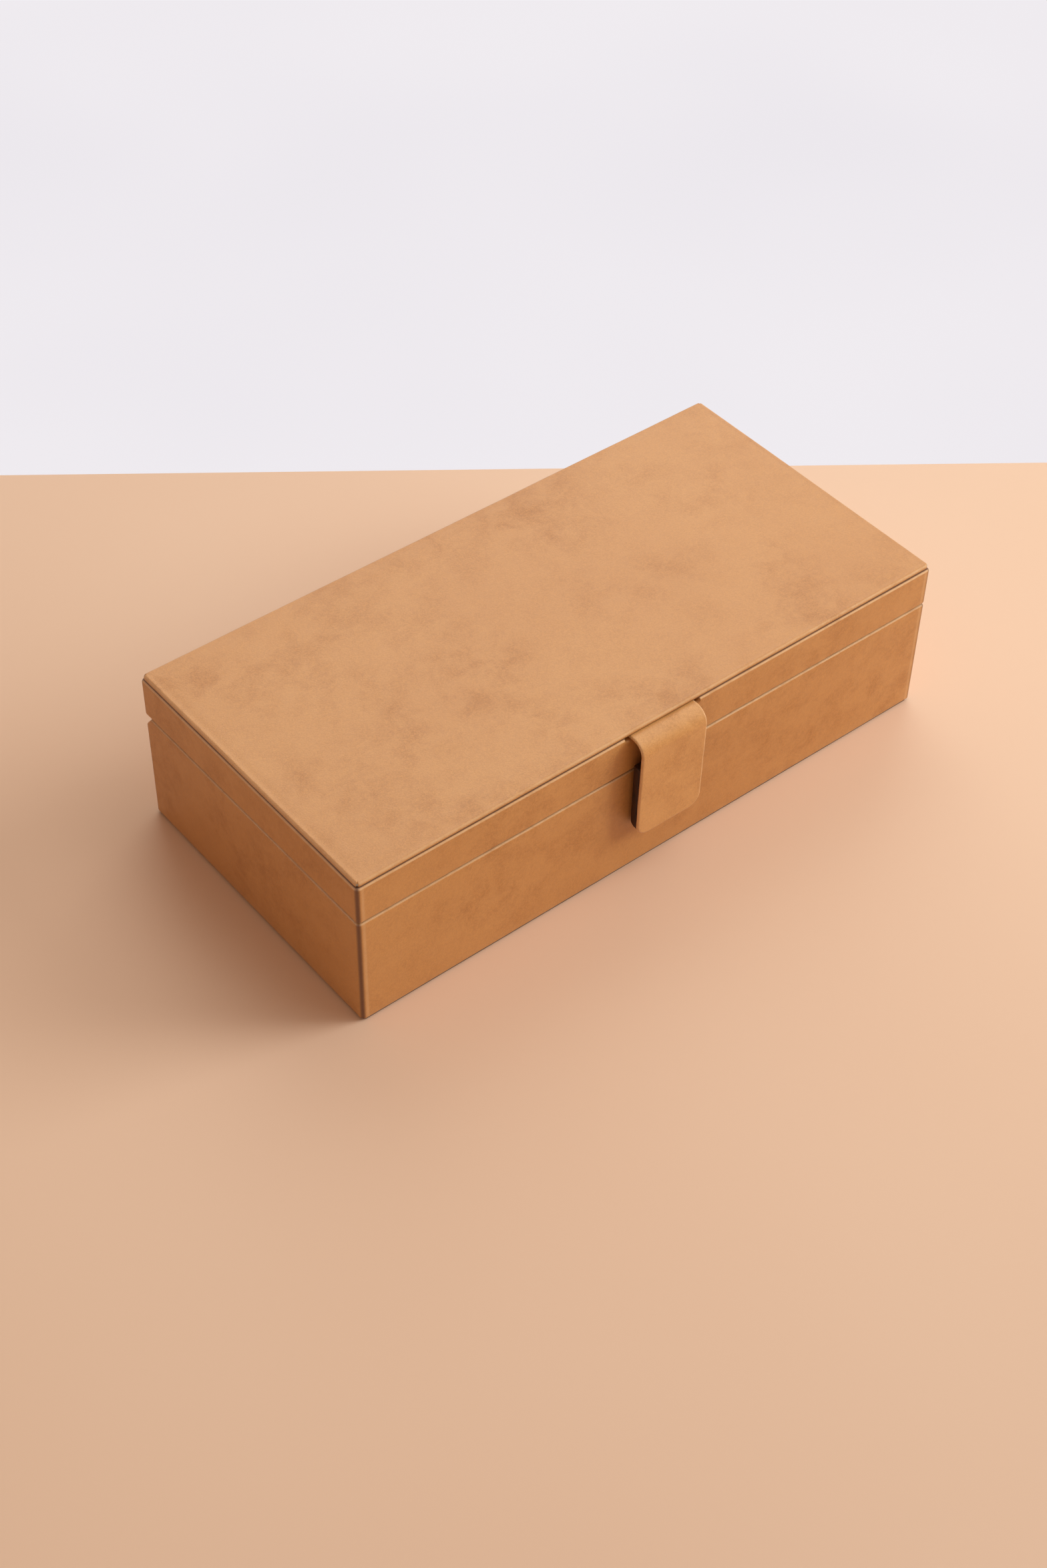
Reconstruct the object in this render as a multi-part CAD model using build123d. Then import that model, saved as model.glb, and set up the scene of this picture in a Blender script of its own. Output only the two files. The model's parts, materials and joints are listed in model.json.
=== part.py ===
"""A leather-covered watch box: a wooden base and lid joined by two brass hinges, closed by a magnetic strap tab.

Frame: origin at the middle of the footprint, on the surface the box stands on. +X runs along the length,
+Y to the back where the hinges are, +Z up. The strap tab hangs on the front, at -Y. Units are millimetres.
"""

import os

from build123d import *

# Outside of the box
box_length = 339.0
box_width = 166.0
box_height = 88.0
lid_depth = 25.0  # from the top of the box down to the base's leather rim
parting_gap = 0.4  # hairline between the base's rim and the lid's

# Boards and coverings
board = 7.0  # side boards of the base and of the lid
bottom_board = 4.0
deck_board = 3.0  # board that closes the lid frame
leather = 0.9
turn_in = 6.0  # leather folded down inside the rim, in a rebate
turn_under = 14.0  # leather folded under the base and over the lid frame
lining = 1.5  # suede on card, inside walls and floor
lining_drop = 1.5  # how far the lining stops short of the rim
fit = 0.15  # clearance between pieces that are dropped into place

# Roundings of the leather
plan_corner = 2.0
base_rim_round = 1.3
base_foot_round = 0.7
lid_rim_round = 1.7
lid_top_round = 1.6

# Panel on top of the lid, and panel under the base
panel_thickness = 2.6
panel_round = 1.2
panel_foot_round = 0.5
panel_corner = 2.6
panel_margin = 10.0  # leather folded under the panel
underside_thickness = 1.2
underside_inset = 0.8
underside_corner = 2.0

# Bevel along the back of the base, which lets the lid's back edge swing down
bevel_depth = 4.8
bevel_drop = 5.8

# Hinges
hinge_length = 48.0
hinge_inset = 71.5  # from the end of the box to the middle of a hinge
hinge_setback = 2.4  # from the back of the box to the hinge axis
knuckle_radius = 1.9
knuckle_count = 5
knuckle_gap = 0.2
knuckle_relief = 0.4
pin_radius = 1.0
pin_play = 0.05
pin_overhang = 0.5
leaf = 1.0
base_flange = 14.0  # height of the leaf's flange inside the base
lid_flange = 12.0
screw_radius = 1.0
screw_head_radius = 1.9
screw_head = 0.8
screw_length = 6.0
screw_pitch = 16.0
screws_per_leaf = 3
screw_slot = 0.4
screw_slot_depth = 0.35
screw_drop = 8.5  # from the rim to the line of screws

# Dividers: two rows of compartments
columns = 6
rows = 2
divider = 3.0
divider_drop = 7.0  # from the rim down to the top of the dividers
lap_play = 0.1

# Watch cushions
cushion_side_gap = 1.6  # between a cushion's end and the divider
cushion_strap_gap = 7.0  # room for a watch strap before and behind a cushion
cushion_height = 40.0
cushion_round = 15.0
cushion_end_round = 4.0
cushion_foot_gap = 0.3

# Pad on the lid's ceiling
pad_thickness = 5.0
pad_play = 0.5
pad_round = 3.0

# Strap tab on the front
strap = 1.8  # thickness of the strap's leather
strap_width = 38.4
strap_tail = 35.0  # glued length on top of the lid
strap_play = 2.3  # room each side of the strap in its slot
strap_slot_depth = 2.4
strap_bend = 7.7  # outer radius of the bend over the lid's edge
strap_axis_out = 1.3  # from the box's front to the line that the strap bends on
strap_root_gap = 0.3
tab_reach = 61.0  # from the top of the box down to the tab's lower edge
tab_foot_out = 8.2  # from the box's front to the tab's outer face, at its lower edge
tab_corner = 7.0
tab_block_reach = 19.0  # from the top of the box down to the thick part of the tab
tab_rest_gap = 0.5
magnet_radius = 8.0
magnet = 2.5
magnet_reach = 43.0  # from the top of the box down to the middle of the magnets

# Worked out from the sizes above
parting_height = box_height - lid_depth
half_length = box_length / 2
half_width = box_width / 2
front = -half_width
wall = leather + board
inner_length = box_length - 2 * wall
inner_width = box_width - 2 * wall
frame_top = box_height - panel_thickness
lid_foot = parting_height + parting_gap
base_board_foot = underside_thickness + leather
floor = base_board_foot + bottom_board + lining
ceiling = frame_top - leather - deck_board
room_length = inner_length - 2 * lining
room_width = inner_width - 2 * lining
back_inside = half_width - wall
axis_y = half_width - hinge_setback
axis_z = parting_height + parting_gap / 2
cell_length = (room_length - (columns - 1) * divider) / columns
cell_width = (room_width - (rows - 1) * divider) / rows
divider_top = parting_height - divider_drop
strap_axis_y = front - strap_axis_out
strap_axis_z = frame_top - strap / 2
hinge_places = {"left": hinge_inset - half_length, "right": half_length - hinge_inset}
tab_foot = box_height - tab_reach
tab_block_top = box_height - tab_block_reach
magnet_height = box_height - magnet_reach


def span(x0, x1, y0, y1, z0, z1):
    """A block between two corners."""
    return Pos((x0 + x1) / 2, (y0 + y1) / 2, (z0 + z1) / 2) * Box(x1 - x0, y1 - y0, z1 - z0)


def centred(length, width, z0, z1):
    """A block centred on the box's vertical axis."""
    return span(-length / 2, length / 2, -width / 2, width / 2, z0, z1)


def soft_block(length, width, z0, z1, corner, top_round, foot_round):
    """A block with rounded upright corners and rounded top and bottom edges."""
    block = extrude(Pos(0, 0, z0) * RectangleRounded(length, width, corner), z1 - z0)
    if top_round > 0:
        block = fillet(block.faces().sort_by(Axis.Z)[-1].edges(), top_round)
    if foot_round > 0:
        block = fillet(block.faces().sort_by(Axis.Z)[0].edges(), foot_round)
    return block


def along_x(profile, x0, x1):
    """A closed outline of (y, z) points, carried along X from x0 to x1."""
    wire = Polyline(*[(x0, y, z) for y, z in profile], close=True)
    return extrude(make_face(wire), x1 - x0, dir=(1, 0, 0))


def rod(x0, x1, y, z, radius):
    """A round rod along X."""
    return Pos((x0 + x1) / 2, y, z) * Rot(0, 90, 0) * Cylinder(radius, x1 - x0)


def back_bevel(inset):
    """What the bevel takes off the back of the base, moved inwards by inset."""
    slope = bevel_drop / bevel_depth
    rim = parting_height - inset * (1 + slope**2) ** 0.5
    outline = [
        (half_width - 2 * bevel_depth, rim + bevel_drop),
        (half_width + bevel_depth, rim - 2 * bevel_drop),
        (half_width + bevel_depth, rim + bevel_drop),
    ]
    return along_x(outline, -half_length, half_length)


def base_envelope(inset):
    """The base's outer form, moved inwards by inset: 0 is the leather, the leather's thickness is the wood."""
    block = soft_block(
        box_length - 2 * inset,
        box_width - 2 * inset,
        underside_thickness + inset,
        parting_height - inset,
        plan_corner - inset,
        max(base_rim_round - inset, 0),
        max(base_foot_round - inset, 0),
    )
    return block - back_bevel(inset)


def lid_envelope(inset):
    """The lid frame's outer form, moved inwards by inset."""
    return soft_block(
        box_length - 2 * inset,
        box_width - 2 * inset,
        lid_foot + inset,
        frame_top - inset,
        plan_corner - inset,
        lid_top_round - inset,
        lid_rim_round - inset,
    )


def rim_rebate(z0, z1):
    """The shallow step inside a rim that takes the leather's turn-in."""
    return centred(inner_length + 2 * leather, inner_width + 2 * leather, z0, z1) - centred(
        inner_length, inner_width, z0, z1
    )


def fold_opening(z0, z1):
    """What the leather that is folded over a frame leaves open in the middle."""
    return centred(box_length - 2 * turn_under, box_width - 2 * turn_under, z0, z1)


base_rebate = rim_rebate(parting_height - leather - turn_in, parting_height - leather)
lid_rebate = rim_rebate(lid_foot + leather, lid_foot + leather + turn_in)


def mitred(ring):
    """Cuts a ring of boards into front, back, left and right at 45 degree mitres."""
    near = (-half_length, -half_width)
    meet = half_length - half_width

    def wedge(*points):
        return extrude(make_face(Polyline(near, *points, close=True)), box_height)

    front_wedge = wedge((half_length, -half_width), (meet, 0), (-meet, 0))
    left_wedge = wedge((-meet, 0), (-half_length, half_width))
    half_turn = Rot(0, 0, 180)
    wedges = {
        "front": front_wedge,
        "back": half_turn * front_wedge,
        "left": left_wedge,
        "right": half_turn * left_wedge,
    }
    return {side: ring & piece for side, piece in wedges.items()}


# Hinges
def leaf_outline(side, grow):
    """The cranked leaf seen from its end: over the rim, then along the wall's inside. side is 1 up, -1 down."""
    face = axis_z + side * parting_gap / 2
    flange = lid_flange if side > 0 else base_flange
    return [
        (axis_y, face),
        (axis_y, face + side * (leaf + grow)),
        (back_inside, face + side * (leaf + grow)),
        (back_inside, face + side * flange),
        (back_inside - leaf, face + side * flange),
        (back_inside - leaf, face),
    ]


def knuckles(middle, first):
    """The knuckles of one leaf: every second one, from the first."""
    pitch = hinge_length / knuckle_count
    start = middle - hinge_length / 2
    rods = [
        rod(
            start + i * pitch + knuckle_gap / 2,
            start + (i + 1) * pitch - knuckle_gap / 2,
            axis_y,
            axis_z,
            knuckle_radius,
        )
        for i in range(first, knuckle_count, 2)
    ]
    return rods


def other_knuckle_room(middle, first):
    """Room in a leaf for the other leaf's knuckles."""
    pitch = hinge_length / knuckle_count
    start = middle - hinge_length / 2
    reach = knuckle_radius + knuckle_relief
    rooms = [
        span(
            start + i * pitch - knuckle_gap / 2,
            start + (i + 1) * pitch + knuckle_gap / 2,
            axis_y - reach,
            axis_y + reach,
            axis_z - reach,
            axis_z + reach,
        )
        for i in range(first, knuckle_count, 2)
    ]
    return rooms


def screw_rows(middle, side):
    """The places of a leaf's screws: x and z on the flange."""
    z = axis_z + side * (parting_gap / 2 + screw_drop)
    return [(middle + (i - (screws_per_leaf - 1) / 2) * screw_pitch, z) for i in range(screws_per_leaf)]


def screw_body(x, z, play):
    """A countersunk screw driven backwards through the flange, grown by play all round."""
    face = back_inside - leaf
    head = Cone(screw_head_radius + play, screw_radius + play, screw_head)
    shank = Cylinder(screw_radius + play, screw_length)
    turn = Rot(-90, 0, 0)
    return (Pos(x, face + screw_head / 2, z) * turn * head) + (
        Pos(x, face + screw_length / 2, z) * turn * shank
    )


def screws(middle, side):
    """The screws of one leaf, each with a slot across its head."""
    made = []
    for x, z in screw_rows(middle, side):
        face = back_inside - leaf
        slot = span(
            x - screw_head_radius,
            x + screw_head_radius,
            face,
            face + screw_slot_depth,
            z - screw_slot / 2,
            z + screw_slot / 2,
        )
        made.append((screw_body(x, z, 0) - slot).solid())
    return made


def hinge_leaf(middle, side):
    """One cranked leaf with its knuckles, pin bore and countersunk holes."""
    first = 0 if side < 0 else 1
    plate = along_x(leaf_outline(side, 0), middle - hinge_length / 2, middle + hinge_length / 2)
    for room in other_knuckle_room(middle, 1 - first):
        plate = plate - room
    for barrel in knuckles(middle, first):
        plate = plate + barrel
    bore = rod(middle - hinge_length, middle + hinge_length, axis_y, axis_z, pin_radius + pin_play)
    plate = plate - bore
    for x, z in screw_rows(middle, side):
        plate = plate - screw_body(x, z, fit / 3)
    return plate


def hinge_pin(middle):
    """A hinge pin that stands a little out of the end knuckles."""
    reach = hinge_length / 2 + pin_overhang
    return rod(middle - reach, middle + reach, axis_y, axis_z, pin_radius)


def hinge_room(side):
    """What both hinges take out of the boards and leather of the base (side -1) or lid (side 1)."""
    room = None
    for middle in hinge_places.values():
        half = hinge_length / 2 + fit
        cut = along_x(leaf_outline(side, 0), middle - half, middle + half)
        reach = hinge_length / 2 + pin_overhang + knuckle_relief
        radius = knuckle_radius + knuckle_relief
        cut = cut + rod(middle - reach, middle + reach, axis_y, axis_z, radius)
        cut = cut + span(
            middle - reach,
            middle + reach,
            axis_y,
            half_width + leather,
            min(axis_z, axis_z + side * radius),
            max(axis_z, axis_z + side * radius),
        )
        for x, z in screw_rows(middle, side):
            cut = cut + screw_body(x, z, 0)
        room = cut if room is None else room + cut
    return room


base_hinge_room = hinge_room(-1)
lid_hinge_room = hinge_room(1)


# Base
def magnet_disc(y0, play):
    """A round magnet lying against a wall, with its face at y0, grown by play."""
    return Pos(0, y0 + magnet / 2, magnet_height) * Rot(90, 0, 0) * Cylinder(magnet_radius + play, magnet)


def base_boards():
    """The four side boards of the base, mitred and rebated."""
    ring = base_envelope(leather) - centred(inner_length, inner_width, 0, box_height)
    ring = ring - base_rebate - base_hinge_room - magnet_disc(front + leather, 0)
    return mitred(ring)


def base_bottom():
    """The bottom board, stepped down inside the leather that is folded under."""
    plate = centred(inner_length, inner_width, base_board_foot, base_board_foot + bottom_board)
    return plate + fold_opening(underside_thickness, base_board_foot)


def base_leather():
    """The leather of the base: outside, over the rim into its rebate, and folded under the bottom."""
    skin = base_envelope(0) - base_envelope(leather)
    skin = skin - centred(inner_length, inner_width, floor, box_height)
    skin = skin - fold_opening(0, base_board_foot)
    return skin + base_rebate - base_hinge_room


def underside_panel():
    """The felt-covered card that closes the underside and that the box stands on."""
    size_x = box_length - 2 * underside_inset
    size_y = box_width - 2 * underside_inset
    return soft_block(size_x, size_y, 0, underside_thickness, underside_corner, 0, 0)


def wall_linings(foot, top, hinge_side):
    """The four suede linings inside a frame. The back one is cut out around the hinge flanges."""
    x, y = inner_length / 2, inner_width / 2
    pieces = {
        "front": span(-x, x, -y, -y + lining, foot, top),
        "back": span(-x, x, y - lining, y, foot, top),
        "left": span(-x, -x + lining, -y + lining, y - lining, foot, top),
        "right": span(x - lining, x, -y + lining, y - lining, foot, top),
    }
    face = axis_z + hinge_side * parting_gap / 2
    flange = (lid_flange if hinge_side > 0 else base_flange) + fit
    ends = sorted((face, face + hinge_side * flange))
    for middle in hinge_places.values():
        half = hinge_length / 2 + fit
        pieces["back"] = pieces["back"] - span(middle - half, middle + half, y - lining, y, *ends)
    return pieces


def floor_lining():
    """The suede on the floor."""
    return centred(inner_length, inner_width, floor - lining, floor)


def column_middles():
    """The middle of each column of compartments, from left to right."""
    pitch = cell_length + divider
    return [(i - (columns - 1) / 2) * pitch for i in range(columns)]


def row_middles():
    """The middle of each row of compartments, from the front."""
    pitch = cell_width + divider
    return [(i - (rows - 1) / 2) * pitch for i in range(rows)]


def cross_places():
    """Where the cross dividers stand."""
    return [x + (cell_length + divider) / 2 for x in column_middles()[:-1]]


def long_places():
    """Where the lengthwise dividers stand."""
    return [y + (cell_width + divider) / 2 for y in row_middles()[:-1]]


def long_divider(y):
    """A lengthwise divider, slotted from the top for the cross dividers."""
    half = divider / 2
    mid_z = (floor + divider_top) / 2
    plate = span(-room_length / 2, room_length / 2, y - half, y + half, floor, divider_top)
    for x in cross_places():
        slot = half + lap_play
        plate = plate - span(x - slot, x + slot, y - divider, y + divider, mid_z, divider_top)
    return plate


def cross_divider(x):
    """A cross divider, slotted from below where it rides over the lengthwise one."""
    half = divider / 2
    mid_z = (floor + divider_top) / 2
    plate = span(x - half, x + half, -room_width / 2, room_width / 2, floor, divider_top)
    for y in long_places():
        slot = half + lap_play
        plate = plate - span(x - divider, x + divider, y - slot, y + slot, floor, mid_z)
    return plate


def cushion():
    """One watch cushion, on the middle of its compartment's floor: an oval roll along X."""
    length = cell_length - 2 * cushion_side_gap
    depth = cell_width - 2 * cushion_strap_gap
    end_view = Plane(origin=(-length / 2, 0, cushion_height / 2), x_dir=(0, 1, 0), z_dir=(1, 0, 0))
    roll = extrude(end_view * RectangleRounded(depth, cushion_height, cushion_round), length)
    ends = roll.faces().filter_by(Axis.X).edges()
    return fillet(ends, cushion_end_round)


# Lid
def strap_slot(grow):
    """The room in the lid's top edge that the strap passes through, grown by the leather that lines it."""
    half = strap_width / 2 + strap_play + grow
    foot = frame_top - strap_slot_depth - grow
    return span(-half, half, front - wall, front + wall, foot, box_height)


def strap_bed():
    """The shallow bed on the deck that the strap's tail lies in."""
    half = strap_width / 2 + fit
    return span(-half, half, front + leather, front + strap_tail + fit, frame_top - strap, box_height)


def lid_boards():
    """The four side boards of the lid."""
    ring = lid_envelope(leather) - centred(inner_length, inner_width, 0, box_height)
    return mitred(ring - lid_rebate - lid_hinge_room - strap_slot(leather))


def lid_deck():
    """The board that closes the lid frame, stepped up inside the folded leather, with the strap's bed."""
    deck = centred(inner_length, inner_width, ceiling, ceiling + deck_board)
    return deck + fold_opening(ceiling + deck_board, frame_top) - strap_bed()


def lid_leather():
    """The leather of the lid frame: outside, over the rim into its rebate, and folded over the top."""
    skin = (lid_envelope(0) - strap_slot(0)) - (lid_envelope(leather) - strap_slot(leather))
    skin = skin - centred(inner_length, inner_width, 0, ceiling)
    skin = skin - fold_opening(ceiling, box_height)
    return skin + lid_rebate - lid_hinge_room - strap_bed()


def top_panel_envelope():
    """The outside of the covered panel on top of the lid."""
    return soft_block(
        box_length, box_width, frame_top, box_height, panel_corner, panel_round, panel_foot_round
    )


def top_panel_board():
    """The card inside the top panel, stepped below for the folded leather."""
    size_x = box_length - 2 * leather
    size_y = box_width - 2 * leather
    core = soft_block(size_x, size_y, frame_top, box_height - leather, panel_corner - leather, 0, 0)
    step = centred(size_x, size_y, frame_top, frame_top + leather) - centred(
        size_x - 2 * panel_margin, size_y - 2 * panel_margin, frame_top, frame_top + leather
    )
    return core - step


def ceiling_pad():
    """The padded suede panel on the lid's ceiling."""
    size_x = room_length - 2 * pad_play
    size_y = room_width - 2 * pad_play
    return soft_block(size_x, size_y, ceiling - pad_thickness, ceiling, pad_round, 0, pad_round * 0.8)


# Strap tab
def tab_outer(z):
    """How far the tab's outer face stands from the box's front at a height below the bend."""
    top_z = frame_top - strap_bend
    top_out = strap_axis_out + strap_bend
    share = (top_z - z) / (top_z - tab_foot)
    return top_out + share * (tab_foot_out - top_out)


def tab_front_view(inset):
    """The tab as seen from the front, rounded at its lower corners, as a deep prism."""
    reach = 2 * box_height
    outline = RectangleRounded(strap_width - 2 * inset, reach, tab_corner - inset)
    upright = Plane(
        origin=(0, front + wall, tab_foot + inset + reach / 2), x_dir=(1, 0, 0), z_dir=(0, -1, 0)
    )
    return extrude(upright * outline, box_width)


def strap_hanging():
    """The strap's outer leather from its bend line down to the tab's foot."""
    top_z = frame_top - strap_bend
    inner_bend = strap_bend - strap
    root = rod(-strap_width / 2, strap_width / 2, strap_axis_y, strap_axis_z, strap / 2)
    bend_ring = rod(-strap_width / 2, strap_width / 2, strap_axis_y, top_z, strap_bend) - rod(
        -strap_width, strap_width, strap_axis_y, top_z, inner_bend
    )
    quarter = span(
        -strap_width, strap_width, strap_axis_y - strap_bend, strap_axis_y, top_z, frame_top
    )
    drop = along_x(
        [
            (front - tab_outer(top_z), top_z),
            (front - tab_outer(top_z) + strap, top_z),
            (front - tab_foot_out + strap, tab_foot),
            (front - tab_foot_out, tab_foot),
        ],
        -strap_width / 2,
        strap_width / 2,
    )
    return ((bend_ring & quarter) + root + drop) & tab_front_view(0)


def tab_block(inset, back):
    """The thick lower part behind the strap, moved inwards by inset at its sides and by back at its back."""
    top = tab_block_top - inset
    foot = tab_foot
    outline = [
        (front - tab_rest_gap - back, foot),
        (front - tab_rest_gap - back, top),
        (front - tab_outer(top) + strap, top),
        (front - tab_foot_out + strap, foot),
    ]
    block = along_x(outline, -strap_width / 2, strap_width / 2)
    return block & tab_front_view(inset)


def tab_magnet_place():
    """The y of the tab magnet's front face."""
    return front - tab_rest_gap - leather - magnet


def tab_core():
    """The stiff core of the tab, with a pocket for its magnet."""
    return tab_block(leather, leather) - magnet_disc(tab_magnet_place(), 0)


def tab_back_leather():
    """The leather round the back and sides of the tab's core."""
    return tab_block(0, 0) - tab_block(leather, leather)


def strap_tail_piece():
    """The part of the strap that is glued between the lid's deck and its top panel."""
    start = strap_axis_y + strap / 2 + strap_root_gap
    half = strap_width / 2
    return span(-half, half, start, front + strap_tail, frame_top - strap, frame_top)


def all_parts():
    """Every sub-part by name."""
    parts = {}
    for side, piece in base_boards().items():
        parts[f"base_{side}_board"] = piece
    parts["base_bottom_board"] = base_bottom()
    parts["base_leather_cover"] = base_leather()
    parts["underside_panel"] = underside_panel()
    parts["floor_lining"] = floor_lining()
    for side, piece in wall_linings(floor, parting_height - lining_drop, -1).items():
        parts[f"base_{side}_lining"] = piece
    for i, y in enumerate(long_places()):
        name = "long_divider" if i == 0 else f"long_divider_{i + 1}"
        parts[name] = long_divider(y)
    for i, x in enumerate(cross_places()):
        parts[f"cross_divider_{i + 1}"] = cross_divider(x)
    parts["catch_magnet"] = magnet_disc(front + leather, 0)
    roll = cushion()
    number = 0
    for y in row_middles():
        for x in column_middles():
            number += 1
            parts[f"watch_cushion_{number:02d}"] = Pos(x, y, floor + cushion_foot_gap) * roll
    for side, piece in lid_boards().items():
        parts[f"lid_{side}_board"] = piece
    parts["lid_deck_board"] = lid_deck()
    parts["lid_leather_cover"] = lid_leather()
    for side, piece in wall_linings(lid_foot + lining_drop, ceiling, 1).items():
        parts[f"lid_{side}_lining"] = piece
    parts["lid_ceiling_pad"] = ceiling_pad()
    parts["top_panel_board"] = top_panel_board()
    parts["top_panel_leather"] = top_panel_envelope() - top_panel_board()
    for side, middle in hinge_places.items():
        parts[f"{side}_hinge_base_leaf"] = hinge_leaf(middle, -1)
        parts[f"{side}_hinge_lid_leaf"] = hinge_leaf(middle, 1)
        parts[f"{side}_hinge_pin"] = hinge_pin(middle)
    parts["base_hinge_screws"] = Compound([s for m in hinge_places.values() for s in screws(m, -1)])
    parts["lid_hinge_screws"] = Compound([s for m in hinge_places.values() for s in screws(m, 1)])
    parts["tab_strap_tail"] = strap_tail_piece()
    parts["tab_strap"] = strap_hanging()
    parts["tab_core"] = tab_core()
    parts["tab_back_leather"] = tab_back_leather()
    parts["tab_magnet"] = magnet_disc(tab_magnet_place(), 0)
    return parts


os.makedirs("parts", exist_ok=True)
for name, shape in all_parts().items():
    export_step(shape, f"parts/{name}.step")
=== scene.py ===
"""The looks of a tan leather watch box: its wrapped covers, strap tab, suede inside, cushions and hinges."""

import json
import math
from functools import cached_property

import bmesh
import bpy
from mathutils import Matrix, Vector, noise
from mathutils.bvhtree import BVHTree


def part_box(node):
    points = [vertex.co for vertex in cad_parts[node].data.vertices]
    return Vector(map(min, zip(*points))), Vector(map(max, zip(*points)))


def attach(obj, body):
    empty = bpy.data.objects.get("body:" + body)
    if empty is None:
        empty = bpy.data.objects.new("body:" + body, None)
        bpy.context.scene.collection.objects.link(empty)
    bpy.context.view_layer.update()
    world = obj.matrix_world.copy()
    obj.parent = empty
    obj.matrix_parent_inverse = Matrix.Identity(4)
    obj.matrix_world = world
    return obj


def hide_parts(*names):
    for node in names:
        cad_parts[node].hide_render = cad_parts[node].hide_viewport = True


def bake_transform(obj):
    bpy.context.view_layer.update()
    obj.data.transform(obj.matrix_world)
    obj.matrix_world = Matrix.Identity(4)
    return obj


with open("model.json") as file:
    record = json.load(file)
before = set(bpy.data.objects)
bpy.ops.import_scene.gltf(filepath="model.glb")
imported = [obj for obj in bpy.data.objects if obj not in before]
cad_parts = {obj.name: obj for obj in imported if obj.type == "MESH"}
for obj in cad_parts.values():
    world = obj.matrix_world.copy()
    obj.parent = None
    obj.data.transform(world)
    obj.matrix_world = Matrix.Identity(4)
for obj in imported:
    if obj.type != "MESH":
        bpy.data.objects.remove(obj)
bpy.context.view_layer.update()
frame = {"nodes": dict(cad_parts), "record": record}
MM = 0.001

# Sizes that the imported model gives
cover_low, cover_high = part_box("base_leather_cover")
lid_low, lid_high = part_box("lid_leather_cover")
panel_low, panel_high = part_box("top_panel_leather")
strap_low, strap_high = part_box("tab_strap")
block_low, block_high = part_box("tab_back_leather")
tail_low, tail_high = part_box("tab_strap_tail")
half_x = cover_high.x
half_y = cover_high.y
front = -half_y
leather = 0.9 * MM
wall = 7.9 * MM  # leather and board together

# Sizes of the leather work, as on the solids
corner_round = 2.0 * MM
rim_round = 1.3 * MM
foot_round = 0.7 * MM
lid_rim_round = 1.7 * MM
lid_top_round = 1.6 * MM
inner_edge = ((0.5 * MM, 0.0), (0.12 * MM, 0.15 * MM), (0.0, 0.6 * MM))  # of a rim: how far out, how deep
turn_in = 6.0 * MM
turn_under = 14.0 * MM
bevel_depth = 4.8 * MM
bevel_drop = 5.8 * MM
panel_corner = 2.4 * MM
panel_edge_round = 1.3 * MM
panel_margin = 10.0 * MM
panel_inset = 0.7 * MM  # the leather drawn tight round the card
slot_half = 21.5 * MM
slot_depth = 2.4 * MM
slot_round = 1.6 * MM
strap_thick = 1.8 * MM
tab_corner = 7.0 * MM
proud = 0.06 * MM  # the most that waviness stands out of the solids
hinge_rooms = [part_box(f"{side}_hinge_pin") for side in ("left", "right")]
hinge_play = 0.4 * MM

# Sizes of the cushions
cushion_inset = 1.6 * MM  # how much smaller each is cut than the room it swells into
seam_share = 0.86  # the end seams, as a share of half the cut length


# Shader maths
class Sock:
    """An output socket that takes part in arithmetic."""

    def __init__(self, tree, socket):
        self.tree = tree
        self.socket = socket

    def _math(self, operation, *values):
        return self.tree.add("ShaderNodeMath", {"operation": operation}, dict(enumerate(values)))

    def __add__(self, other):
        return self._math("ADD", self, other)

    def __sub__(self, other):
        return self._math("SUBTRACT", self, other)

    def __rsub__(self, other):
        return self._math("SUBTRACT", other, self)

    def __mul__(self, other):
        return self._math("MULTIPLY", self, other)

    __radd__ = __add__
    __rmul__ = __mul__

    def abs(self):
        return self._math("ABSOLUTE", self)

    def max(self, other):
        return self._math("MAXIMUM", self, other)

    def ramp(self, low, high, to_low=0.0, to_high=1.0):
        """A smooth step from to_low to to_high as the value goes from low to high."""
        settings = {"interpolation_type": "SMOOTHSTEP", "clamp": True}
        values = {"Value": self, "From Min": low, "From Max": high, "To Min": to_low, "To Max": to_high}
        return self.tree.add("ShaderNodeMapRange", settings, values, "Result")


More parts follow.
